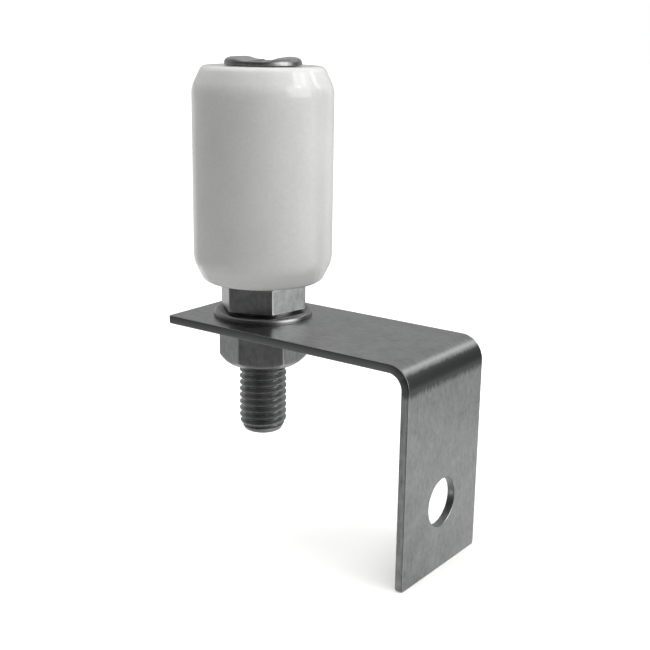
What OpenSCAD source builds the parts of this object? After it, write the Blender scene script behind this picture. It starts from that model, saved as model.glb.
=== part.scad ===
// Guide roller for a sliding door or gate: a nylon roller that turns on an upright
// steel axle, clamped through the seat of an L-shaped bracket.
// Millimetres. The origin is the centre of the fixing hole, on the bracket's mounting
// face. +X points out of that face, into the wall or post, and +Z runs up the axle.

/* [Bracket] */
// Width of the bent steel strip
strip_w = 38; // [34:1:60]
// Thickness of the strip
strip_t = 2.5; // [2:0.5:4]
// Outside radius of the bend
bend_r = 6.5; // [4.5:0.5:9]
// Length of the seat, from its free end to the mounting face
seat_len = 83; // [80:1:120]
// Length of the leg, from its foot to the top of the seat
leg_len = 62; // [55:1:90]
// Height of the fixing hole above the foot of the leg
hole_rise = 19.5; // [15:0.5:25]
// Diameter of the fixing hole
hole_d = 13.5; // [9:0.5:17]
// Distance of the axle from the mounting face
axle_reach = 63; // [50:1:65]
// Diameter of the axle's hole in the seat
seat_hole_d = 15; // [15:0.5:17]

/* [Roller] */
// Diameter of the roller
roller_d = 40; // [36:1:60]
// Length of the roller
roller_len = 60.6; // [30:0.2:90]
// Length of the sloping band at each end
band_len = 6; // [2:0.5:10]
// How far each end band draws in
band_depth = 2.9; // [1:0.1:4]
// Radius on the roller's end edges
end_round = 2.2; // [0.5:0.1:3]
// Radius where an end band meets the side
band_round = 8; // [2:0.5:10]
// End float between the roller and what holds it, at each end
end_float = 0.15; // [0.1:0.05:0.5]
// Running clearance between the roller and its sleeve, on the radius
run_gap = 0.05; // [0.02:0.01:0.1]

/* [Axle] */
// Thread and shank diameter
axle_d = 14; // [12:1:14]
// Thread pitch
pitch = 2; // [1.5:0.25:2.5]
// Length of axle standing out under the seat
tail_len = 33; // [22:0.5:50]
// Length of the threaded part
thread_len = 50; // [40:2:60]
// Diameter of the head where it meets the roller
head_d = 21.8; // [20:0.2:26]
// Height of the head
head_h = 2.2; // [2:0.1:5]
// Width of the screwdriver slot
slot_w = 4; // [2:0.5:5]
// Depth of the screwdriver slot
slot_depth = 1.2; // [0.8:0.1:1.6]
// Direction of the slot, turned from +X
slot_turn = 116; // [0:1:179]
// Outside diameter of the spacer sleeve
sleeve_d = 18; // [17.5:0.5:19]

/* [Nuts and washers] */
// Width across the flats of both nuts
nut_af = 22.5; // [21:0.5:24]
// Height of the thin upper nut
jam_nut_h = 8.2; // [6:0.1:11]
// Height of the round foot under the upper nut
jam_foot = 0.6; // [0.2:0.1:1]
// Height of the lower nut
clamp_nut_h = 11.6; // [8:0.1:13]
// Turn of the upper nut's corners from +X
jam_nut_turn = 21; // [0:1:59]
// Turn of the lower nut's corners from +X
clamp_nut_turn = 36; // [0:1:59]
// Diameter of the washer on the seat
washer_d = 28.8; // [26:0.1:34]
// Thickness of the washer on the seat
washer_t = 1.8; // [1.5:0.1:3]
// Diameter of the thrust washer under the roller
thrust_d = 24; // [22:0.5:26]
// Thickness of the thrust washer
thrust_t = 0.5; // [0.5:0.1:2]

/* [Hidden] */
$fn = 96;
eps = 0.01;

// Levels, from the seat upwards
seat_top = leg_len - hole_rise;
seat_under = seat_top - strip_t;
jam_base = seat_top + washer_t;
thrust_base = jam_base + jam_nut_h;
sleeve_base = thrust_base + thrust_t;
roller_base = sleeve_base + end_float;
head_base = roller_base + roller_len + end_float;
axle_tip = seat_under - tail_len;

// Metric thread: flanks at 60 degrees, crests an eighth and roots a quarter of the pitch
thread_depth = 0.613 * pitch;
flank = thread_depth * tan(30);
crest = pitch / 8;
tip_taper = 3;
tip_draw = 1.8;
thread_turns = floor((thread_len - tip_taper) / pitch);

// Room that the smooth bores leave round the thread crests
thread_gap = 0.05;
sleeve_gap = 0.1;
washer_bore_d = axle_d + 1;
mouth_chamfer = 0.6;
edge_break = 0.4;
punched_rim = 0.8;
nut_cone = 35;
jam_nut_face = 1.105;
clamp_nut_face = 0.93;
foot_face = 0.92;
arc_steps = 5;

// Moves what follows onto the axle's axis
module on_axle(z) {
    translate([-axle_reach, 0, z]) children();
}

// Flat round washer with its upper rim broken
module washer(d, bore_d, t, rim) {
    rotate_extrude()
        polygon([[bore_d / 2, 0], [d / 2, 0], [d / 2, t - rim], [d / 2 - rim, t], [bore_d / 2, t]]);
}

// Points of an arc of radius r that rounds the corner c between its neighbours a and b
function rounded(a, c, b, r) =
    let (u = (a - c) / norm(a - c), v = (b - c) / norm(b - c), half = acos(u * v) / 2,
         centre = c + (u + v) / norm(u + v) * r / sin(half), sweep = 180 - 2 * half,
         first = c + u * r / tan(half) - centre, last = c + v * r / tan(half) - centre)
    [for (i = [0 : arc_steps]) let (t = i / arc_steps)
        centre + (first * sin((1 - t) * sweep) + last * sin(t * sweep)) / sin(sweep)];

// Hexagon nut with its corners coned off at both ends, and broken bore mouths. The end
// faces have face times the radius of the circle inside the hexagon. A foot lifts the
// hexagon off a round face below it.
module hex_nut(h, face, foot) {
    corner_r = nut_af / 2 / cos(30);
    face_r = nut_af / 2 * face;
    cone_h = (corner_r - face_r) * tan(nut_cone);
    bore_r = axle_d / 2 + thread_gap;
    difference() {
        union() {
            intersection() {
                translate([0, 0, foot]) cylinder(h = h - foot, r = corner_r, $fn = 6);
                rotate_extrude()
                    polygon([[0, foot], [face_r, foot], [corner_r, foot + cone_h],
                             [corner_r, h - cone_h], [face_r, h], [0, h]]);
            }
            if (foot > 0) cylinder(h = foot + eps, r = nut_af / 2 * foot_face);
        }
        translate([0, 0, -eps]) cylinder(h = h + 2 * eps, r = bore_r);
        for (end = [0, 1])
            translate([0, 0, end * h]) mirror([0, 0, end])
                translate([0, 0, -eps])
                    cylinder(h = mouth_chamfer + eps, r1 = bore_r + mouth_chamfer, r2 = bore_r);
    }
}

// Strip of steel bent once: a level seat for the axle and a leg with the fixing hole
module bracket() {
    color("darkgray") difference() {
        union() {
            translate([-seat_len, -strip_w / 2, seat_under])
                cube([seat_len - bend_r, strip_w, strip_t]);
            translate([-strip_t, -strip_w / 2, -hole_rise])
                cube([strip_t, strip_w, leg_len - bend_r]);
            translate([-bend_r, strip_w / 2, seat_top - bend_r]) rotate([90, 0, 0])
                intersection() {
                    difference() {
                        cylinder(h = strip_w, r = bend_r);
                        translate([0, 0, -eps]) cylinder(h = strip_w + 2 * eps, r = bend_r - strip_t);
                    }
                    cube([bend_r, bend_r, strip_w]);
                }
        }
        on_axle(seat_under - eps) cylinder(h = strip_t + 2 * eps, d = seat_hole_d);
        translate([-strip_t - eps, 0, 0]) rotate([0, 90, 0])
            cylinder(h = strip_t + 2 * eps, d = hole_d);
    }
}

// Plain nylon roller with a sloping band at each end, rounded over, and a smooth through bore
module roller() {
    r = roller_d / 2;
    end_r = r - band_depth;
    bore_r = sleeve_d / 2 + run_gap;
    foot = [bore_r + edge_break, 0];
    low = [[end_r, 0], [r, band_len]];
    high = [[r, roller_len - band_len], [end_r, roller_len]];
    crown = [bore_r + edge_break, roller_len];
    color("whitesmoke") on_axle(roller_base) rotate_extrude()
        polygon(concat([foot], rounded(foot, low[0], low[1], end_round),
                       rounded(low[0], low[1], high[0], band_round),
                       rounded(low[1], high[0], high[1], band_round),
                       rounded(high[0], high[1], crown, end_round),
                       [crown, [bore_r, roller_len - edge_break], [bore_r, edge_break]]));
}

// Axle: low slotted head, plain shank, and a threaded end drawn as rings of true depth
module axle_bolt() {
    r = axle_d / 2;
    root_r = r - thread_depth;
    tip = axle_tip - head_base;
    head_r = head_d / 2;
    first = tip + tip_taper;
    rings = [for (i = [0 : thread_turns - 1], p = [[r, 0], [r, crest], [root_r, crest + flank],
             [root_r, pitch - flank]]) [p[0], first + i * pitch + p[1]]];
    last = first + thread_turns * pitch;
    color("silver") on_axle(head_base) difference() {
        rotate_extrude()
            polygon(concat([[0, tip], [r - tip_draw, tip]], rings,
                           [[r, last], [r, 0], [head_r, 0], [head_r - 0.6, head_h * 0.72],
                            [head_r - 1, head_h * 0.88], [head_r - 2.1, head_h], [0, head_h]]));
        rotate([0, 0, slot_turn]) translate([-head_r, -slot_w / 2, head_h - slot_depth])
            cube([head_d, slot_w, slot_depth + eps]);
    }
}

// Steel tube that the upper nut draws tight, so that the roller on it stays free
module spacer_sleeve() {
    color("lightsteelblue") on_axle(sleeve_base) difference() {
        cylinder(h = head_base - sleeve_base, d = sleeve_d);
        translate([0, 0, -eps])
            cylinder(h = head_base - sleeve_base + 2 * eps, d = axle_d + 2 * sleeve_gap);
    }
}

// Thin hard washer that carries the roller's weight on the upper nut
module thrust_washer() {
    color("gainsboro") on_axle(thrust_base)
        washer(thrust_d, axle_d + 0.5, thrust_t, thrust_t / 5);
}

// Thin nut that closes the axle up under the roller
module jam_nut() {
    color("silver") on_axle(jam_base) rotate([0, 0, jam_nut_turn])
        hex_nut(jam_nut_h, jam_nut_face, jam_foot);
}

// Plain washer between the upper nut and the seat
module plate_washer() {
    color("lightgray") on_axle(seat_top) washer(washer_d, washer_bore_d, washer_t, punched_rim);
}

// Full nut that clamps the axle to the seat from below
module clamp_nut() {
    color("silver") on_axle(seat_under - clamp_nut_h) rotate([0, 0, clamp_nut_turn])
        hex_nut(clamp_nut_h, clamp_nut_face, 0);
}

bracket();
roller();
axle_bolt();
spacer_sleeve();
thrust_washer();
jam_nut();
plate_washer();
clamp_nut();
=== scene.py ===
import bmesh
import bpy
import numpy as np
from mathutils import Euler, Matrix, Vector


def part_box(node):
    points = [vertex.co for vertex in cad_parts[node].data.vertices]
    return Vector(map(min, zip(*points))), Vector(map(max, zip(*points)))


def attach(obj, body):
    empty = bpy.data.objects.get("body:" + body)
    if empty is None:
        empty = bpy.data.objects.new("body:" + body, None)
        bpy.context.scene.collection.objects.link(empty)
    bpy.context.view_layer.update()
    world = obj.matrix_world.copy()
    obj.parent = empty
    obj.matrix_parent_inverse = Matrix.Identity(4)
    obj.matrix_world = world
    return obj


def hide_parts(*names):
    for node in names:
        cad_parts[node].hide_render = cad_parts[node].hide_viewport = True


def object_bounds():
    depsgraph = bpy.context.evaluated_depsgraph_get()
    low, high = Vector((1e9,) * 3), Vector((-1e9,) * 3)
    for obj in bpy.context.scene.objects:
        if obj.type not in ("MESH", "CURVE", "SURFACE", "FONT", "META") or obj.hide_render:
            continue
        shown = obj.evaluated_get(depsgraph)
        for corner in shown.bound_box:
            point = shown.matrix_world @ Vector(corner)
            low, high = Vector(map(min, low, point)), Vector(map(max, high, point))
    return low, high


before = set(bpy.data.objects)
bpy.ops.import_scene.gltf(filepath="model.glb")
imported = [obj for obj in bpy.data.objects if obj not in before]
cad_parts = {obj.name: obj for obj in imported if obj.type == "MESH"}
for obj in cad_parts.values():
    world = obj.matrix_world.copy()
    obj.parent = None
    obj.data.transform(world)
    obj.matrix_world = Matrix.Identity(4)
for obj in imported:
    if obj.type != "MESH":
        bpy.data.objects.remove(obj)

cad_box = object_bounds()

# Guide roller for a sliding door or gate. Sizes are in millimetres and go into the meshes as metres.
# The origin is the fixing hole, +X points out of the mounting face and +Z runs up the axle.


# Bracket
# One strip of cold-rolled steel, sheared to length, punched twice and bent once over a bar.
# It is zinc plated in a barrel afterwards, so it is dull, faintly mottled and soft along its edges.
STRIP_THICK = 2.5
BEND_OUTER = 6.5
SEAT_HOLE_RADIUS = 7.5
FIXING_HOLE_RADIUS = 6.75
# Half the side of the square cell of grid round each hole, and the width of the strip along every edge
# that holds its rounding
HOLE_CELL = 12.0
RIM = 0.7
# Rounding of the sheared edges, on the outer face and on the inner one
OUTER_BREAK = 0.3
INNER_BREAK = 0.6


def span(node):
    """Lowest and highest corner of a node of the frame, in millimetres."""
    return [np.array(corner) * 1000 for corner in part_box(node)]


def quads(rows, columns, round_rows=False, round_columns=False):
    """Faces between neighbouring points of a grid that is stored row by row."""
    row = np.arange(rows if round_rows else rows - 1)[:, None]
    column = np.arange(columns if round_columns else columns - 1)[None, :]
    next_row = (row + 1) % rows
    next_column = (column + 1) % columns
    corners = [row * columns + column, row * columns + next_column,
               next_row * columns + next_column, next_row * columns + column]
    return np.stack(corners, -1).reshape(-1, 4)


def make_piece(name, blocks, material, body, node, smooth=35):
    """Object from blocks of (points, faces, marks), welded where they meet and turned outwards.

    Points are in millimetres, and marks are named values at the points, for the material. smooth is the
    sharpest angle between faces, in degrees, that is still shaded as one surface.
    """
    starts = np.cumsum([0] + [len(points) for points, faces, marks in blocks])
    points = np.concatenate([points for points, faces, marks in blocks])
    faces = np.concatenate([faces + start for (_, faces, _), start in zip(blocks, starts)])
    mesh = bpy.data.meshes.new(name)
    mesh.from_pydata(points / 1000, [], faces.tolist())
    for mark in blocks[0][2]:
        values = np.concatenate([marks[mark] for points, faces, marks in blocks]).astype(np.float32)
        kind, field = ("FLOAT_VECTOR", "vector") if values.ndim == 2 else ("FLOAT", "value")
        mesh.attributes.new(mark, kind, "POINT").data.foreach_set(field, values.ravel())
    shell = bmesh.new()
    shell.from_mesh(mesh)
    bmesh.ops.remove_doubles(shell, verts=shell.verts, dist=2e-6)
    bmesh.ops.dissolve_degenerate(shell, edges=shell.edges, dist=1e-6)
    bmesh.ops.recalc_face_normals(shell, faces=shell.faces)
    shell.to_mesh(mesh)
    shell.free()
    mesh.shade_smooth()
    mesh.set_sharp_from_angle(angle=np.radians(smooth))
    mesh.materials.append(material)
    piece = bpy.data.objects.new(name, mesh)
    bpy.context.scene.collection.objects.link(piece)
    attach(piece, body)
    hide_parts(node)
    return piece


def linear(code):
    """Linear colour from an sRGB hex code."""
    srgb = np.array([int(code[i:i + 2], 16) for i in (1, 3, 5)]) / 255
    light = np.where(srgb <= 0.04045, srgb / 12.92, ((srgb + 0.055) / 1.055) ** 2.4)
    return (*light.tolist(), 1.0)


def add(tree, kind, inputs=None, **settings):
    """One node, with its settings, and its inputs set to values or linked to other nodes' outputs."""
    node = tree.nodes.new("ShaderNode" + kind)
    for setting, value in settings.items():
        setattr(node, setting, value)
    for socket, value in (inputs or {}).items():
        if isinstance(value, bpy.types.NodeSocket):
            tree.links.new(value, node.inputs[socket])
        else:
            node.inputs[socket].default_value = value
    return node


def zinc_plate(name, light, dark, smooth, rough, per_mm, relief, wear_and_painted_light=(), place_mark=None):
    """Electroplated zinc: a metal with cloudy tone, small grain and a soft satin gloss.

    light and dark are the plating's tones, smooth and rough its roughness, per_mm the grains to a
    millimetre along each axis, and relief their depth in millimetres. The marks listed after relief each
    change the colour and the roughness, with ragged edges: wear, painted shade and painted highlights.
    place_mark names a place in millimetres on the mesh that the pattern follows in place of the object's
    own.
    """
    material = bpy.data.materials.new(name)
    material.use_nodes = True
    tree = material.node_tree
    metal = tree.nodes["Principled BSDF"]
    if place_mark:
        place = add(tree, "Attribute", attribute_name=place_mark).outputs["Vector"]
        unit = 1.0
    else:
        place = add(tree, "TexCoord").outputs["Object"]
        unit = 1000.0
    stretched = add(tree, "Mapping", {"Vector": place, "Scale": [unit * n for n in per_mm]}).outputs[0]
    even = add(tree, "Mapping", {"Vector": place, "Scale": [unit] * 3}).outputs[0]
    # Clouds are about 6 mm across, blotches 1.4 mm, and the grain as fine as still shows
    clouds = add(tree, "TexNoise", {"Vector": even, "Scale": 0.16, "Detail": 3.0, "Roughness": 0.55})
    blotches = add(tree, "TexNoise", {"Vector": even, "Scale": 0.7, "Detail": 4.0, "Roughness": 0.6})
    grain = add(tree, "TexNoise", {"Vector": stretched, "Scale": 1.0, "Detail": 3.0, "Roughness": 0.55})
    mixed = add(tree, "Math", {0: clouds.outputs["Fac"], 1: blotches.outputs["Fac"]}, operation="ADD")
    tone = add(tree, "Math", {0: mixed.outputs[0], 1: grain.outputs["Fac"]}, operation="ADD")
    share = add(tree, "MapRange", {"Value": tone.outputs[0], "From Min": 1.15, "From Max": 1.85})
    colour = add(tree, "Mix", {"Factor": share.outputs[0], "A": linear(dark), "B": linear(light)},
                 data_type="RGBA").outputs["Result"]
    gloss = add(tree, "MapRange", {"Value": mixed.outputs[0], "From Min": 0.7, "From Max": 1.3,
                                   "To Min": smooth, "To Max": rough}).outputs[0]
    # Each mark lays its colour over the plating: wear, painted shade under the bend, and painted
    # highlights
    for overlay, overlay_colour, overlay_rough in wear_and_painted_light:
        edge = add(tree, "Attribute", attribute_name=overlay).outputs["Fac"]
        ragged = add(tree, "Math", {0: grain.outputs["Fac"], 1: edge}, operation="ADD").outputs[0]
        amount = add(tree, "MapRange", {"Value": ragged, "From Min": 0.78, "From Max": 1.22}).outputs[0]
        colour = add(tree, "Mix", {"Factor": amount, "A": colour, "B": linear(overlay_colour)},
                     data_type="RGBA").outputs["Result"]
        gloss = add(tree, "Mix", {"Factor": amount, "A": gloss, "B": overlay_rough},
                    data_type="FLOAT").outputs["Result"]
    height = add(tree, "Math", {0: grain.outputs["Fac"], 1: blotches.outputs["Fac"]}, operation="ADD")
    bump = add(tree, "Bump", {"Height": height.outputs[0], "Distance": relief / 1000, "Strength": 1.0})
    metal.inputs["Metallic"].default_value = 1.0
    tree.links.new(colour, metal.inputs["Base Color"])
    tree.links.new(gloss, metal.inputs["Roughness"])
    tree.links.new(bump.outputs[0], metal.inputs["Normal"])
    return material


bracket_low, bracket_high = span("bracket")
axle_x = span("roller")[0][0] / 2 + span("roller")[1][0] / 2
bend_start = -BEND_OUTER - bracket_low[0]
neutral = BEND_OUTER - STRIP_THICK / 2
bend_length = neutral * np.pi / 2
strip_length = bend_start + bend_length + bracket_high[2] - BEND_OUTER - bracket_low[2]
half_width = bracket_high[1]


def fold(flat):
    """Bends the flat strip: straight seat, quarter circle, straight leg.

    A flat point is its way along, its way across and its depth under the outer face. Along the quarter
    circle the way turns into an angle at the middle layer's radius, and the point lies at the outer
    radius less its depth. The outer side draws in by 0.6% there, and the inner side swells as much.
    """
    along, across, depth = flat.T
    turn = np.clip((along - bend_start) / neutral, 0, np.pi / 2)
    radius = BEND_OUTER - depth
    swell = 1 + 0.012 * (depth / STRIP_THICK - 0.5) * np.sin(2 * turn)
    x = bracket_low[0] + np.minimum(along, bend_start) + radius * np.sin(turn)
    z = bracket_high[2] - BEND_OUTER + radius * np.cos(turn)
    z = z - np.maximum(along - bend_start - bend_length, 0)
    return np.stack([x, across * swell, z], -1)


def lines(*stops):
    """Grid lines between stops of (place, spacing), no further apart than the later stop's spacing.

    The count is taken a millionth short, so that a run that divides evenly gets no extra line and its
    lines meet those of the hole cells.
    """
    runs = [np.linspace(start, end, int(np.ceil((end - start) / spacing - 1e-6)) + 1)
            for (start, _), (end, spacing) in zip(stops, stops[1:])]
    return np.unique(np.concatenate(runs).round(6))


seat_hole_at = axle_x - bracket_low[0]
fixing_hole_at = bend_start + bend_length + bracket_high[2] - BEND_OUTER
holes = [(seat_hole_at, SEAT_HOLE_RADIUS), (fixing_hole_at, FIXING_HOLE_RADIUS)]
along_lines = lines((RIM, 1), (seat_hole_at - HOLE_CELL, 1.5), (seat_hole_at + HOLE_CELL, 1),
                    (bend_start, 1.5), (bend_start + bend_length, 0.4), (fixing_hole_at - HOLE_CELL, 1.5),
                    (fixing_hole_at + HOLE_CELL, 1), (strip_length - RIM, 1.5))
across_lines = lines((RIM - half_width, 1), (-HOLE_CELL, 1.2), (HOLE_CELL, 1), (half_width - RIM, 1.2))

# Section of a sheared edge, from the outer face round to the inner one, and 1 where it is sheared
arc = np.linspace(0, np.pi / 2, 6)
rim_out = np.concatenate([[0], RIM - OUTER_BREAK + OUTER_BREAK * np.sin(arc),
                          RIM - INNER_BREAK + INNER_BREAK * np.cos(arc), [0]])
rim_down = np.concatenate([[0], OUTER_BREAK * (1 - np.cos(arc)),
                           STRIP_THICK - INNER_BREAK * (1 - np.sin(arc)), [STRIP_THICK]])
rim_cut = np.concatenate([[0, 0, 0, 0], np.ones(len(rim_out) - 6), [0, 0]])


def eased(share):
    """Smooth step of a share that is first held between 0 and 1: three squares less two cubes."""
    share = np.clip(share, 0, 1)
    return share * share * (3 - 2 * share)


def strip_block(flat, faces, cut):
    """Block of the strip, with its flat place, its sheared edges and painted shade under the bend.

    The painted shade climbs from 45 to 70% of the way round the bend, and falls over 5 mm that start a
    millimetre before the leg. The leg's sheared edges are less dark than the seat's.
    """
    turn = (flat[:, 0] - bend_start) / bend_length
    climb = (turn - 0.45) / 0.25
    fall = (flat[:, 0] - bend_start - bend_length + 1.0) / 5.0
    sheared = cut * (1 - 0.6 * np.clip(climb, 0, 1))
    # Painted shade: a dark band under the bend, where the bend mirrors the dark room
    bend_shade = eased(climb) * (1 - eased(fall))
    return fold(flat), faces, {"flat_place": flat, "sheared": sheared, "painted_bend_shade": bend_shade}


def skin(depth):
    """One face of the strip as a grid that leaves out a square cell round each hole."""
    along, across = np.meshgrid(along_lines, across_lines, indexing="ij")
    flat = np.stack([along.ravel(), across.ravel(), np.full(along.size, depth)], -1)
    faces = quads(*along.shape)
    middle = flat[faces].mean(1)
    kept = np.ones(len(faces), bool)
    for at, _ in holes:
        kept &= (abs(middle[:, 0] - at) > HOLE_CELL) | (abs(middle[:, 1]) > HOLE_CELL)
    return strip_block(flat, faces[kept], np.zeros(len(flat)))


def hole_skin(at, radius, depth):
    """The square cell round a hole: straight lines from points on the circle to points on the square."""
    side = np.linspace(-HOLE_CELL, HOLE_CELL, int(2 * HOLE_CELL) + 1)[:-1]
    edge = np.full(len(side), HOLE_CELL)
    square = np.concatenate([np.stack(pair, -1) for pair in
                             ((side, -edge), (edge, side), (-side, edge), (-edge, -side))])
    angle = -0.75 * np.pi + np.arange(len(square)) * 2 * np.pi / len(square)
    circle = (radius + RIM) * np.stack([np.cos(angle), np.sin(angle)], -1)
    share = np.linspace(0, 1, 6)[:, None, None]
    across = (circle + share * (square - circle)).reshape(-1, 2)
    flat = np.column_stack([across[:, 0] + at, across[:, 1], np.full(len(across), depth)])
    return strip_block(flat, quads(6, len(square), round_columns=True), np.zeros(len(flat)))


def rim(path, outward):
    """Sheared edge: the rim's section, carried along a closed path and laid out along its normals."""
    flat = path[None] + rim_out[:, None, None] * outward[None]
    depth = np.broadcast_to(rim_down[:, None, None], flat.shape[:2] + (1,))
    flat = np.concatenate([flat, depth], -1).reshape(-1, 3)
    cut = np.repeat(rim_cut, len(path))
    return strip_block(flat, quads(len(rim_out), len(path), round_columns=True), cut)


def outer_path():
    """The strip's outline, drawn in by the rim, with a fan of normals at each corner."""
    low, high = along_lines[0], along_lines[-1]
    side = across_lines[-1]
    sides = [(along_lines, 0 * along_lines - side), (0 * across_lines + high, across_lines),
             (along_lines[::-1], 0 * along_lines + side), (0 * across_lines + low, across_lines[::-1])]
    fan = np.linspace(0, np.pi / 2, 7)[1:-1]
    path, facing = [], []
    for number, (along, across) in enumerate(sides):
        points = np.stack([along, across], -1)
        path += [points, np.repeat(points[-1:], len(fan), 0)]
        facing += [np.full(len(points), (number - 1) * np.pi / 2), (number - 1) * np.pi / 2 + fan]
    facing = np.concatenate(facing)
    return np.concatenate(path), np.stack([np.cos(facing), np.sin(facing)], -1)


def hole_path(at, radius):
    """A hole's outline, widened by the rim, with normals that point to its centre."""
    count = int(8 * HOLE_CELL)
    angle = -0.75 * np.pi + np.arange(count) * 2 * np.pi / count
    out = np.stack([np.cos(angle), np.sin(angle)], -1)
    return out * (radius + RIM) + [at, 0], -out


# Zinc on mild steel strip: the rolling left faint lines along the strip, here 1 mm apart so that they
# show. The sheared edges are darker and rougher because the plating is thin there. A dark band under
# the bend is painted shade, where the bend mirrors the dark room.
bracket_zinc = zinc_plate("zinc_plated_cold_rolled_strip", "#C7C8C8", "#A9AAAA", 0.27, 0.34,
                          (0.3, 1.0, 1.0), 0.003,
                          # The second mark is painted shade: the dark band under the bend
                          [("sheared", "#8C8D8D", 0.42), ("painted_bend_shade", "#707171", 0.34)],
                          place_mark="flat_place")
make_piece("bracket_strip",
           [skin(0), skin(STRIP_THICK), rim(*outer_path())]
           + [hole_skin(at, radius, depth) for at, radius in holes for depth in (0, STRIP_THICK)]
           + [rim(*hole_path(at, radius)) for at, radius in holes],
           bracket_zinc, "carrier", "bracket")


# Axle bolt
# A steel bar with a low round head forged on one end, slotted for a wide screwdriver, and an M14
# thread rolled on the other. It is zinc plated, with the thread a little darker and duller.
HEAD_RADIUS = 10.9
HEAD_FLAT = 8.0
# Power of the ellipse that rounds the head's side: 2 is a plain ellipse, more is squarer
HEAD_SQUARENESS = 2.75
# How far the pads beside the slot sink at its lips
HEAD_HOLLOW = 0.85
SLOT_HALF = 2.0
SLOT_DEPTH = 1.2
SLOT_EDGE = 0.18
SLOT_FILLET = 0.3
SLOT_TURN = np.radians(116)
SHANK = 7.0
PITCH = 2.0
THREAD_DEPTH = 1.226
THREAD_LENGTH = 50.0
# How far the crests lie under the shank
CREST_CUT = 0.02
# Half the crest's width and the width of a flank, in pitches, and the length over which it runs out
THREAD_CREST = 0.0625
THREAD_FLANK = 0.354
THREAD_FADE = 2.5
ROWS_PER_TURN = 16

axle_low, axle_high = span("axle_bolt")
head_base = span("spacer_sleeve")[1][2]
head_height = axle_high[2] - head_base
axle_tip = axle_low[2]


def shoulder(angle):
    """Radius and height of the head's side: a quarter of a squarish ellipse from rim to flat top."""
    radius = HEAD_FLAT + (HEAD_RADIUS - HEAD_FLAT) * np.cos(angle) ** (2 / HEAD_SQUARENESS)
    height = head_height * np.sin(angle) ** (2 / HEAD_SQUARENESS)
    return radius, height


def axle_block(x, y, z, faces, wear_and_highlight):
    """Block of the axle: places round its axis, turned to the slot's direction, and its mark of wear and
    painted highlight.
    """
    cosine, sine = np.cos(SLOT_TURN), np.sin(SLOT_TURN)
    turned_x = axle_x + x * cosine - y * sine
    turned_y = x * sine + y * cosine
    points = np.stack([turned_x.ravel(), turned_y.ravel(), z.ravel()], -1)
    return points, faces, {"wear_and_highlight": np.broadcast_to(wear_and_highlight, x.shape).ravel()}


floor_angle = np.arcsin(((head_height - SLOT_DEPTH) / head_height) ** (HEAD_SQUARENESS / 2))
land_angle = np.linspace(floor_angle, np.pi / 2 - 1e-6, 14)
land_radius, land_height = shoulder(land_angle)
slot_lip = SLOT_HALF + SLOT_EDGE
flat_radius = np.linspace(HEAD_FLAT, slot_lip, 13)[1:]
land_radius = np.concatenate([land_radius, flat_radius])
land_height = np.concatenate([land_height, np.full(len(flat_radius), head_height)])
floor_radius = land_radius[0]

# Half of the slot's section, from its lip down to the middle of its floor, as its way across and its
# share of the slot's height
quarter = np.linspace(0, np.pi / 2, 5)
half_y = np.concatenate([SLOT_HALF + SLOT_EDGE * (1 - np.sin(quarter)),
                         SLOT_HALF - SLOT_FILLET * (1 - np.cos(quarter)), [0.8, 0.0]])
half_share = np.concatenate([1 - SLOT_EDGE / SLOT_DEPTH * (1 - np.cos(quarter)),
                             SLOT_FILLET / SLOT_DEPTH * (1 - np.sin(quarter)), [0.0, 0.0]])
slot_y = np.concatenate([half_y, -half_y[-2::-1]])
slot_share = np.concatenate([half_share, half_share[-2::-1]])

# Angles of the axle's columns: close across the slot's ends, and even along the pads between them
slot_end = np.arcsin(slot_y / floor_radius)
along_land = np.linspace(slot_end[0], np.pi - slot_end[0], 27)
rings = np.concatenate([slot_end, along_land, np.pi - slot_end, -along_land])
rings = np.where(rings > np.pi, rings - 2 * np.pi, rings)
rings = np.unique(np.concatenate([rings, [-np.pi, np.pi]]).round(7))


def hollowed(height, across):
    """Height of a pad after it sinks towards the slot.

    Above the slot's floor it loses a share that falls smoothly from 3.2 to 6.4 mm off the centre line.
    """
    sunk = HEAD_HOLLOW / SLOT_DEPTH * (1 - eased((abs(across) - 3.2) / 3.2))
    floor = head_height - SLOT_DEPTH
    return floor + (height - floor) * (1 - sunk)


def head_land(side):
    """Pad beside the slot: arcs that run from the slot's lip on one end to its lip on the other.

    From 1.2 mm up to its top it is scuffed bright and painted lighter as a highlight.
    """
    start = np.arcsin(slot_lip / land_radius)[:, None]
    angle = start + np.linspace(0, 1, len(along_land)) * (np.pi - 2 * start)
    x = land_radius[:, None] * np.cos(angle)
    y = side * land_radius[:, None] * np.sin(angle)
    z = head_base + hollowed(land_height[:, None], y)
    # Painted highlight: the pads are lighter from 1.2 mm up, over their scuffing
    wear_and_highlight = np.clip((land_height - 1.2) / 0.8, 0, 1)[:, None] * 0.9
    return x, y, z, quads(*x.shape), wear_and_highlight


def head_slot():
    """Slot: its section carried from end to end, its height scaled to run out at the head's side."""
    way = np.sqrt((land_radius ** 2 - slot_lip ** 2) / (floor_radius ** 2 - slot_lip ** 2))
    way = np.concatenate([-way, way[-2::-1]])
    lip_height = hollowed(land_height, slot_lip)
    top = np.concatenate([lip_height, lip_height[-2::-1]])
    floor = head_height - SLOT_DEPTH
    x = way * np.sqrt(floor_radius ** 2 - slot_y ** 2)[:, None]
    y = np.broadcast_to(slot_y[:, None], x.shape)
    z = head_base + floor + (top - floor) * slot_share[:, None]
    return x, y, z, quads(*x.shape), (slot_share > 0.8)[:, None] * 0.9


def turned_rows(radius, height):
    """Rows of a turned surface on the axle's own ring of angles."""
    x = radius[:, None] * np.cos(rings)
    y = radius[:, None] * np.sin(rings)
    z = np.broadcast_to(height[:, None], x.shape)
    return x, y, z, quads(*x.shape)


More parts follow.
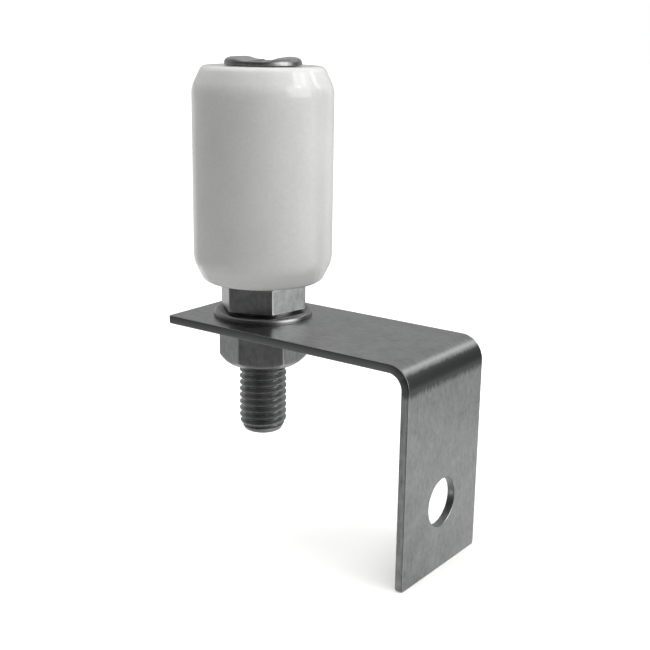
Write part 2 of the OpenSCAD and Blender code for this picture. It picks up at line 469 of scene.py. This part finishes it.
def thread():
    """Thread: rows that climb one pitch a turn, with a radius that falls from crest to root and back.

    The distance from the nearest crest, in pitches, gives the depth along a 60 degree flank, eased at
    crest and root. The point's own radius is never more than the tapered end's, and the depth fades to
    nothing where the thread runs out into the shank.
    """
    top = axle_tip + THREAD_LENGTH
    row = np.arange(-ROWS_PER_TURN, (THREAD_LENGTH / PITCH + 1) * ROWS_PER_TURN + 1)[:, None]
    height = axle_tip + row * PITCH / ROWS_PER_TURN + PITCH * rings / (2 * np.pi)
    height = np.clip(height, axle_tip, top)
    phase = (height - axle_tip) / PITCH - rings / (2 * np.pi)
    away = abs((phase + 0.5) % 1 - 0.5)
    fall = np.clip((away - THREAD_CREST) / THREAD_FLANK, 0, 1)
    fall = eased(fall) * 0.35 + fall * 0.65
    fade = np.clip((top - height) / THREAD_FADE, 0, 1)
    radius = SHANK - CREST_CUT - (THREAD_DEPTH - CREST_CUT) * fall * fade
    end = np.interp(height - axle_tip, [0, 0.12, 0.4, 2.2, 3.2], [4.9, 5.15, 5.6, 6.5, SHANK])
    radius = np.minimum(radius, end)
    wear_and_highlight = (1 - fall) * 0.2
    return radius * np.cos(rings), radius * np.sin(rings), height, quads(*radius.shape), wear_and_highlight


# The head's underside, the plain shank down to the thread, and the rounded tip
side_radius, side_height = shoulder(np.linspace(0, floor_angle, 7))
thread_end = axle_tip + THREAD_LENGTH
under_radius = np.array([SHANK - CREST_CUT, SHANK, SHANK, SHANK + 0.25, 8.5, HEAD_RADIUS - 0.3,
                         HEAD_RADIUS - 0.12, HEAD_RADIUS])
under_height = np.array([thread_end, thread_end, head_base - 0.25, head_base, head_base, head_base,
                         head_base + 0.03, head_base + 0.12])
body_radius = np.concatenate([under_radius, side_radius[1:]])
body_height = np.concatenate([under_height, np.maximum(head_base + side_height[1:], head_base + 0.2)])
tip_radius = np.array([4.9, 4.5, 3.5, 2.0, 1e-4])
tip_height = axle_tip + np.array([0, 0.02, 0.3, 0.42, 0.45])

axle_blocks = [axle_block(*head_land(1)), axle_block(*head_land(-1)), axle_block(*head_slot()),
               axle_block(*turned_rows(body_radius, body_height), 0.15),
               axle_block(*turned_rows(tip_radius, tip_height), 0.2), axle_block(*thread())]

# Forged skin under zinc: greyer than strip, dull in the thread, and rubbed bright on crests and pads; the
# pads' brightness is also a painted highlight
axle_zinc = zinc_plate("zinc_plated_forged_steel", "#BABBBB", "#989999", 0.30, 0.42,
                       (1.0, 1.0, 1.0), 0.008, [("wear_and_highlight", "#E2E2E1", 0.24)])
make_piece("axle_bolt_head_and_stud", axle_blocks, axle_zinc, "carrier", "axle_bolt",
           smooth=50)


# Roller
# Natural white nylon, turned from bar and bored to run on its sleeve. The turning tool leaves fine
# rings, and light goes a little way into the nylon, so its edges look soft.
BAND_LENGTH = 6.0
BAND_DEPTH = 2.9
BAND_ROUND = 8.0
END_ROUND = 2.2
ROLLER_BORE = 9.05
BORE_EDGE = 0.4


def turned(outline, radii, steps, runs):
    """Closed section with rounded corners: an arc touches both sides of each corner.

    The arc's centre is on the corner's bisector, and its points turn evenly from one side to the other.
    Points on a straight run are spaced as a cosine, so they crowd towards the arcs. Gives the rows, and
    a mark that is 1 on the arcs and 0 between them, for wear and, on some pieces, a painted highlight.
    """
    outline = np.asarray(outline, float)
    radii = np.asarray(radii, float)
    back = np.roll(outline, 1, -2) - outline
    ahead = np.roll(outline, -1, -2) - outline
    back /= np.linalg.norm(back, axis=-1, keepdims=True)
    ahead /= np.linalg.norm(ahead, axis=-1, keepdims=True)
    half = np.arccos(np.clip((back * ahead).sum(-1), -1, 1)) / 2
    middle = back + ahead
    middle /= np.linalg.norm(middle, axis=-1, keepdims=True)
    centre = outline + middle * (radii / np.sin(half))[..., None]
    first = outline + back * (radii / np.tan(half))[..., None]
    last = outline + ahead * (radii / np.tan(half))[..., None]
    sweep = (np.pi - 2 * half)[..., None, None]
    t = np.linspace(0, 1, steps)[:, None]
    arcs = ((first - centre)[..., None, :] * np.sin((1 - t) * sweep)
            + (last - centre)[..., None, :] * np.sin(t * sweep)) / np.sin(sweep) + centre[..., None, :]
    t = (0.5 - 0.5 * np.cos(np.pi * np.arange(1, runs) / runs))[:, None]
    following = np.roll(first, -1, -2)
    straights = last[..., None, :] + t * (following - last)[..., None, :]
    rows = np.concatenate([arcs, straights], -2)
    wear_and_highlight = np.tile(np.concatenate([np.ones(steps), np.zeros(runs - 1)]), outline.shape[-2])
    return rows.reshape(*rows.shape[:-3], -1, 2), wear_and_highlight


def round_axle(section, wear_and_highlight, angles):
    """Section of (radius, height) carried round the axle's axis, one row of points for each angle."""
    radius, height = np.broadcast_arrays(section[..., 0], section[..., 1])
    angle = angles[:, None]
    radius = np.broadcast_to(radius, (len(angles), radius.shape[-1]))
    height = np.broadcast_to(height, radius.shape)
    points = np.stack([axle_x + radius * np.cos(angle), radius * np.sin(angle), height], -1)
    faces = quads(*radius.shape, round_rows=True, round_columns=True)
    return points.reshape(-1, 3), faces, {"wear_and_highlight": np.tile(wear_and_highlight, len(angles))}


def even_angles(count):
    """Angles that divide a turn evenly."""
    return np.arange(count) * 2 * np.pi / count


roller_low, roller_high = span("roller")
roller_radius = (roller_high[1] - roller_low[1]) / 2
base, top = roller_low[2], roller_high[2]
end_radius = roller_radius - BAND_DEPTH
section, wear_and_highlight = turned(
    [(ROLLER_BORE, base), (end_radius, base), (roller_radius, base + BAND_LENGTH),
     (roller_radius, top - BAND_LENGTH), (end_radius, top), (ROLLER_BORE, top)],
    [BORE_EDGE, END_ROUND, BAND_ROUND, BAND_ROUND, END_ROUND, BORE_EDGE], 9, 12)

# Nylon 6 as turned and wiped: an even milky white with stains 11 mm across and specks of a millimetre,
# glossy along the tool's path, so that lamps show in it as streaks
nylon = bpy.data.materials.new("natural_nylon_turned")
nylon.use_nodes = True
tree = nylon.node_tree
plastic = tree.nodes["Principled BSDF"]
place = add(tree, "TexCoord").outputs["Object"]
spot = add(tree, "Mapping", {"Vector": place, "Scale": (1000, 1000, 1000),
                             "Location": (-axle_x, 0, 0)}).outputs[0]
stain = add(tree, "TexNoise", {"Vector": spot, "Scale": 0.09, "Detail": 4.0, "Roughness": 0.55})
speck = add(tree, "TexNoise", {"Vector": spot, "Scale": 1.1, "Detail": 3.0, "Roughness": 0.6})
both = add(tree, "Math", {0: stain.outputs["Fac"], 1: speck.outputs["Fac"]}, operation="ADD")
shade = add(tree, "MapRange", {"Value": both.outputs[0], "From Min": 0.7, "From Max": 1.3})
tint = add(tree, "Mix", {"Factor": shade.outputs[0], "A": linear("#E9E9E7"), "B": linear("#F2F2F0")},
           data_type="RGBA")
# Rings from the tool, 0.45 mm apart so that they show, and scuffs 2 mm across
feed = add(tree, "TexWave", {"Vector": spot, "Scale": 0.7, "Distortion": 0.3, "Detail": 2.0},
           wave_type="BANDS", bands_direction="Z")
scuffs = add(tree, "TexNoise", {"Vector": spot, "Scale": 0.5, "Detail": 6.0, "Roughness": 0.7})
relief = add(tree, "Math", {0: feed.outputs["Fac"], 1: 0.12}, operation="MULTIPLY")
relief = add(tree, "Math", {0: relief.outputs[0], 1: scuffs.outputs["Fac"]}, operation="ADD")
bump = add(tree, "Bump", {"Height": relief.outputs[0], "Distance": 0.000008})
gloss = add(tree, "MapRange", {"Value": scuffs.outputs["Fac"], "From Min": 0.3, "From Max": 0.7,
                               "To Min": 0.05, "To Max": 0.08})
tree.links.new(tint.outputs["Result"], plastic.inputs["Base Color"])
tree.links.new(gloss.outputs[0], plastic.inputs["Roughness"])
tree.links.new(bump.outputs[0], plastic.inputs["Normal"])
plastic.inputs["IOR"].default_value = 1.53
plastic.inputs["Subsurface Weight"].default_value = 0.8
plastic.inputs["Subsurface Radius"].default_value = (1.0, 1.0, 0.95)
plastic.inputs["Subsurface Scale"].default_value = 0.004

roller = make_piece("nylon_roller", [round_axle(section, wear_and_highlight, even_angles(192))],
                    nylon, "roller", "roller")


# Spacer sleeve
# A short length of cold-drawn steel tube on the shank. The upper nut draws it tight against the head,
# and the roller runs on it. It is out of sight inside the roller.
SLEEVE_RADIUS = 9.0
SLEEVE_BORE = 7.1
sleeve_low, sleeve_high = span("spacer_sleeve")
section, wear_and_highlight = turned(
    [(SLEEVE_BORE, sleeve_low[2]), (SLEEVE_RADIUS, sleeve_low[2]), (SLEEVE_RADIUS, sleeve_high[2]),
     (SLEEVE_BORE, sleeve_high[2])], [0.3, 0.3, 0.3, 0.3], 5, 5)
# Drawn along its length, so its marks are long and upright
sleeve_steel = zinc_plate("cold_drawn_tube", "#BFC0C0", "#A0A1A1", 0.25, 0.35,
                          (0.8, 0.8, 0.08), 0.012, [("wear_and_highlight", "#CBCBCA", 0.25)])
make_piece("spacer_tube", [round_axle(section, wear_and_highlight, even_angles(96))],
           sleeve_steel, "carrier", "spacer_sleeve")


# Thrust washer
# A thin spring-steel washer that carries the roller's weight on the upper nut, so that the nylon doesn't
# turn on the nut's corners. It is stamped, tumbled and left bright.
THRUST_BORE = 7.25
thrust_low, thrust_high = span("thrust_washer")
thrust_radius = (thrust_high[1] - thrust_low[1]) / 2
section, wear_and_highlight = turned(
    [(THRUST_BORE, thrust_low[2]), (thrust_radius, thrust_low[2]), (thrust_radius, thrust_high[2]),
     (THRUST_BORE, thrust_high[2])], [0.1, 0.1, 0.1, 0.1], 4, 6)
thrust_steel = zinc_plate("bright_spring_steel", "#C6C7C7", "#A9AAAA", 0.2, 0.3,
                          (1.5, 1.5, 1.5), 0.008, [("wear_and_highlight", "#D0D0CF", 0.2)])
make_piece("thrust_ring", [round_axle(section, wear_and_highlight, even_angles(96))],
           thrust_steel, "carrier", "thrust_washer")


# Upper nut
# A thin M14 hexagon nut, sawn from drawn bar and zinc plated, its corners barely coned, with a low round
# foot turned on its lower end. It draws the axle's stack tight under the roller.
NUT_FLATS = 22.5
NUT_BORE = 7.05
NUT_MOUTH = 0.6
NUT_CONE = np.tan(np.radians(35))
# The least that the cones take off the sides
NUT_BREAK = 0.3
# Radii of the end faces and of the foot, as shares of the circle inside the hexagon
UPPER_FACE = 1.105
FOOT_FACE = 0.92
FOOT_HEIGHT = 0.6
UPPER_TURN = np.radians(21)
# Power of the mean that rounds the hexagon's corners, and where their wear and painted highlight start
CORNER_POWER = 110
CORNER_START = 1.135


def hexagon_radius(angles, turn):
    """Distance to the side of a hexagon with soft corners: a high power mean over its six flats."""
    flats = turn + np.radians(30 + 60 * np.arange(6))
    facing = np.maximum(np.cos(angles[:, None] - flats), 0) * 2 / NUT_FLATS
    return (facing ** CORNER_POWER).sum(-1) ** (-1 / CORNER_POWER)


def nut_blocks(node, turn, face, foot):
    """Nut: at each angle the section runs out over the face, down the cone to the hexagon, and back.

    face is the end faces' radius, as a share of the circle inside the hexagon. A foot lifts the hexagon
    by its height off a smaller round face.
    """
    low, high = span(node)
    flat_part = np.concatenate([np.linspace(0, 27, 10)[:-1], np.linspace(27, 30, 9)])
    sector = np.concatenate([-flat_part[:0:-1], flat_part])[:-1]
    angles = turn + np.radians((30 + 60 * np.arange(6)[:, None] + sector).ravel())
    side = hexagon_radius(angles, turn)
    face_edge = np.minimum(face * NUT_FLATS / 2, side - NUT_BREAK)
    cone = (side - face_edge) * NUT_CONE
    flat = np.zeros(len(angles))
    foot_edge = NUT_FLATS / 2 * FOOT_FACE
    base, top = low[2], high[2]
    under = [(foot_edge, base), (foot_edge, base + foot)] if foot else []
    outline = [(NUT_BORE, base + NUT_MOUTH), (NUT_BORE + NUT_MOUTH, base), *under,
               (face_edge, base + foot), (side, base + foot + cone), (side, top - cone),
               (face_edge, top), (NUT_BORE + NUT_MOUTH, top), (NUT_BORE, top - NUT_MOUTH)]
    outline = np.stack([np.stack(np.broadcast_arrays(flat, *corner)[1:], -1) for corner in outline], 1)
    section, wear_and_highlight = turned(outline, [0.15] * outline.shape[1], 5, 5)
    points, faces, marks = round_axle(section, wear_and_highlight, angles)
    # Painted highlight along the hexagon's corners, together with their wear
    start = side.min() * CORNER_START
    corner = np.clip((side - start) / (side.max() - start), 0, 1)
    marks["wear_and_highlight"] = np.maximum(np.tile(wear_and_highlight, len(angles)) * 0.8, np.repeat(corner, section.shape[-2]))
    return [(points, faces, marks)]


# Zinc on drawn bar: the sides keep faint upright draw marks, and corners and cones are rubbed bright,
# which also paints a highlight along them
nut_zinc = zinc_plate("zinc_plated_drawn_bar", "#C4C5C5", "#A2A3A3", 0.28, 0.38,
                      (0.9, 0.9, 0.4), 0.009, [("wear_and_highlight", "#D2D2D1", 0.30)])
make_piece("upper_nut", nut_blocks("jam_nut", UPPER_TURN, UPPER_FACE, FOOT_HEIGHT),
           nut_zinc, "carrier", "jam_nut")


# Plate washer
# A plain punched washer on the seat, zinc plated. Its upper rim is rolled over by the punch, its lower
# edge is sharp. Its faces are greyer than its rim, which is rubbed and carries a painted highlight.
WASHER_BORE = 7.5
WASHER_ROLL = 1.1
washer_low, washer_high = span("plate_washer")
washer_radius = (washer_high[1] - washer_low[1]) / 2
section, wear_and_highlight = turned(
    [(WASHER_BORE, washer_low[2]), (washer_radius, washer_low[2]), (washer_radius, washer_high[2]),
     (WASHER_BORE, washer_high[2])], [0.15, 0.15, WASHER_ROLL, 0.3], 9, 6)
# Painted highlight: the arcs, the rolled rim most of all, are lighter than the faces
washer_zinc = zinc_plate("zinc_plated_punched_steel", "#909191", "#767777", 0.28, 0.36,
                         (0.8, 0.8, 0.8), 0.006, [("wear_and_highlight", "#A6A6A5", 0.30)])
make_piece("seat_washer", [round_axle(section, wear_and_highlight, even_angles(144))],
           washer_zinc, "carrier", "plate_washer")


# Lower nut
# A full M14 hexagon nut under the seat, of the same bar and plating, coned at both ends. It clamps the
# axle to the bracket.
LOWER_FACE = 0.93
LOWER_TURN = np.radians(36)
make_piece("lower_nut", nut_blocks("clamp_nut", LOWER_TURN, LOWER_FACE, 0.0),
           nut_zinc, "carrier", "clamp_nut")


# Floor
# A wide board painted matt white, under the foot of the bracket. It catches a soft shadow, and metal
# doesn't mirror it, because the room below gives the reflections.
FLOOR_HALF = 4.0
floor_z = cad_box[0].z
floor_mesh = bpy.data.meshes.new("floor")
floor_mesh.from_pydata([(-FLOOR_HALF, -FLOOR_HALF, floor_z), (FLOOR_HALF, -FLOOR_HALF, floor_z),
                        (FLOOR_HALF, FLOOR_HALF, floor_z), (-FLOOR_HALF, FLOOR_HALF, floor_z)],
                       [], [(0, 1, 2, 3)])
paint = bpy.data.materials.new("matt_white_paint")
paint.use_nodes = True
tree = paint.node_tree
place = add(tree, "TexCoord").outputs["Object"]
uneven = add(tree, "TexNoise", {"Vector": place, "Scale": 3.0, "Detail": 3.0})
tint = add(tree, "Mix", {"Factor": uneven.outputs["Fac"], "A": linear("#F3F3F2"), "B": linear("#F7F7F6")},
           data_type="RGBA")
tree.links.new(tint.outputs["Result"], tree.nodes["Principled BSDF"].inputs["Base Color"])
tree.nodes["Principled BSDF"].inputs["Roughness"].default_value = 0.9
floor_mesh.materials.append(paint)
floor_board = bpy.data.objects.new("floor", floor_mesh)
bpy.context.scene.collection.objects.link(floor_board)
floor_board.visible_glossy = False
floor_board.visible_diffuse = False
floor_board.visible_shadow = False


# Room
# White to the camera. For light it is a dim room over a pale table, brighter behind the object than in
# front of it, with a narrow window high behind and a few soft light and dark places.
# The soft places: azimuth, elevation, radius of the even middle, radius of the soft edge, in degrees,
# and the brightness that each adds or takes away
SOFT_PLACES = [(77, 31, 2, 9, 1.25), (58, 1, 12, 21, -0.55), (52, -34, 7, 14, -0.5),
               (152, -13, 6, 24, 0.32), (28, -14, 8, 24, 0.3), (-175, -22, 8, 22, -0.12),
               (-122, -27, 5, 16, 0.42), (-60, 30, 20, 55, -0.06)]
DARKEST = 0.03


def direction(azimuth, elevation):
    """Unit vector at an azimuth counted from +X towards +Y, and an elevation, in degrees."""
    a, e = np.radians(azimuth), np.radians(elevation)
    return Vector((np.cos(a) * np.cos(e), np.sin(a) * np.cos(e), np.sin(e)))


world = bpy.data.worlds.new("studio_room")
bpy.context.scene.world = world
world.use_nodes = True
tree = world.node_tree
way = add(tree, "TexCoord").outputs["Generated"]
parts = add(tree, "SeparateXYZ", {0: way})
# Brightness climbs from front to back, and from the horizon down to the table
behind = add(tree, "MapRange", {"Value": parts.outputs["Y"], "From Min": -0.8, "From Max": 0.3,
                                "To Min": 0.10, "To Max": 0.52}, interpolation_type="SMOOTHSTEP")
above = add(tree, "MapRange", {"Value": parts.outputs["Z"], "From Min": -0.1, "From Max": 0.12,
                               "To Min": 1.0, "To Max": 0.75}, interpolation_type="SMOOTHSTEP")
table = add(tree, "MapRange", {"Value": parts.outputs["Z"], "From Min": -0.30, "From Max": -0.44,
                               "To Min": 0.0, "To Max": 0.34}, interpolation_type="SMOOTHSTEP")
under = add(tree, "MapRange", {"Value": parts.outputs["Z"], "From Min": -0.40, "From Max": -0.50,
                               "To Min": 1.0, "To Max": 0.25}, interpolation_type="SMOOTHSTEP")
table = add(tree, "Math", {0: table.outputs[0], 1: under.outputs[0]}, operation="MULTIPLY")
room = add(tree, "Math", {0: behind.outputs[0], 1: above.outputs[0]}, operation="MULTIPLY").outputs[0]
room = add(tree, "Math", {0: room, 1: table.outputs[0]}, operation="ADD").outputs[0]
for azimuth, elevation, core, spread, strength in SOFT_PLACES:
    near = add(tree, "VectorMath", {0: way, 1: direction(azimuth, elevation)}, operation="DOT_PRODUCT")
    share = add(tree, "MapRange", {"Value": near.outputs["Value"], "From Min": np.cos(np.radians(spread)),
                                   "From Max": np.cos(np.radians(core)), "To Min": 0.0,
                                   "To Max": strength}, interpolation_type="SMOOTHSTEP")
    room = add(tree, "Math", {0: room, 1: share.outputs[0]}, operation="ADD").outputs[0]
lit = add(tree, "Math", {0: room, 1: DARKEST}, operation="MAXIMUM").outputs[0]
dim = add(tree, "Background", {"Color": lit, "Strength": 1.0})
white = add(tree, "Background", {"Color": (1, 1, 1, 1), "Strength": 1.0})
seen = add(tree, "LightPath").outputs["Is Camera Ray"]
both = add(tree, "MixShader", {0: seen, 1: dim.outputs[0], 2: white.outputs[0]})
tree.links.new(both.outputs[0], tree.nodes["World Output"].inputs["Surface"])


# Lamps
# A large soft box to the right, a weak one behind to the left, and a glow from below like that of a white
# table. A soft sky lies over the roller and a wider one over the floor. Three narrow upright panes, like
# a window's, show in the roller's upper band.
TARGET = Vector((-0.042, 0, 0.05))
# Piece, width of the sky in degrees, and energy
SKIES = [(roller, 50, 2.25), (floor_board, 130, 4.0)]
# Azimuth and elevation in degrees, width in metres, and radiance
PANES = [(16, 41.5, 0.15, 2.6), (37, 36, 0.27, 1.1), (57, 29, 0.15, 2.2)]
PANE_DISTANCE = 1.1
PANE_HEIGHT = 0.4


def lamp(name, azimuth, elevation, distance, width, height, radiance, mirrored):
    """Area lamp that faces the object: its power is radiance times area times pi."""
    data = bpy.data.lights.new(name, "AREA")
    data.shape = "RECTANGLE"
    data.size = width
    data.size_y = height
    data.energy = radiance * width * height * np.pi
    made = bpy.data.objects.new(name, data)
    bpy.context.scene.collection.objects.link(made)
    out = direction(azimuth, elevation)
    made.location = TARGET + out * distance
    made.rotation_euler = out.to_track_quat("Z", "Y").to_euler()
    made.visible_glossy = mirrored
    made.visible_camera = False
    return made


lamp("right_soft_box", 12, 22, 1.2, 0.9, 0.9, 2.2, True)
lamp("left_soft_box", -175, 12, 1.2, 0.7, 0.7, 0.5, False)
lamp("table_glow", 0, -90, 0.75, 3.0, 3.0, 0.67, False)


def lit_only(source, piece):
    """Lets a lamp light one piece and nothing else."""
    pieces = bpy.data.collections.new(f"{source.name}_lights_only")
    pieces.objects.link(piece)
    source.light_linking.receiver_collection = pieces


for piece, angle, energy in SKIES:
    sky_data = bpy.data.lights.new(f"sky_over_{piece.name}", "SUN")
    sky_data.angle = np.radians(angle)
    sky_data.energy = energy
    sky = bpy.data.objects.new(sky_data.name, sky_data)
    sky.visible_glossy = False
    bpy.context.scene.collection.objects.link(sky)
    lit_only(sky, piece)
for azimuth, elevation, width, radiance in PANES:
    pane = lamp(f"window_pane_{azimuth}", azimuth, elevation, PANE_DISTANCE, width, PANE_HEIGHT, radiance,
                True)
    pane.visible_diffuse = False
    lit_only(pane, roller)


# Camera
# A 62 mm lens about a third of a metre away, a little above the seat and to the right of the free end.
camera_data = bpy.data.cameras.new("camera")
camera_data.sensor_width = 36
camera_data.lens = 62.28
camera = bpy.data.objects.new("camera", camera_data)
bpy.context.scene.collection.objects.link(camera)
camera.location = (0.14134, -0.24726, 0.12576)
facing = Euler((np.radians(90 - 15.109), 0, np.radians(36.308))).to_matrix()
camera.rotation_euler = (facing @ Matrix.Rotation(np.radians(0.853), 3, "Z")).to_euler()
camera_data.clip_start = 0.01
bpy.context.scene.camera = camera
bpy.context.scene.view_settings.view_transform = "Standard"
